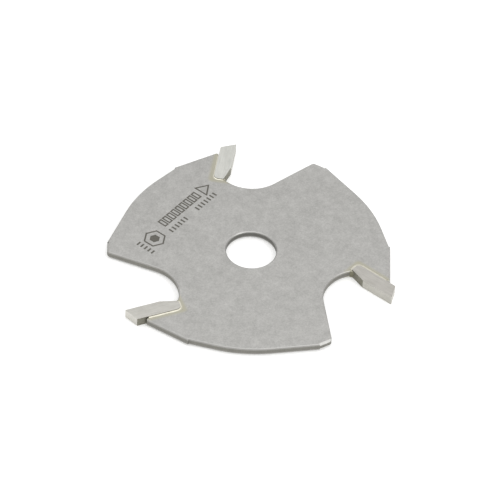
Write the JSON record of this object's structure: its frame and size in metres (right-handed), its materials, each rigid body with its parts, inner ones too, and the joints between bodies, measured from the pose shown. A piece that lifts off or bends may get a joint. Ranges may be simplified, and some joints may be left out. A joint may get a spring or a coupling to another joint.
{
  "type": "three-wing slotting cutter",
  "caption": "Thin slotting cutter disc for an arbor: a flat steel body with a central bore, chip gullets and brazed carbide tips.",
  "frame": {"origin": "centre of the arbor bore, in the middle plane of the body", "axes": "+Z along the bore axis, out of the marked face; +Y through the cutting corner of tip 1; seen from +Z the cutter turns clockwise"},
  "size_m": [0.0444, 0.0451, 0.0016],
  "materials": {
    "steel_body": "vapour-blasted matt tool steel",
    "carbide": "ground tungsten carbide",
    "silver_solder": "bright silver solder"
  },
  "bodies": {
    "root": {"body_plate": "steel_body", "carbide_tip_1": "carbide", "carbide_tip_2": "carbide", "carbide_tip_3": "carbide", "braze_seam_1": "silver_solder", "braze_seam_2": "silver_solder", "braze_seam_3": "silver_solder"}
  },
  "joints": []
}
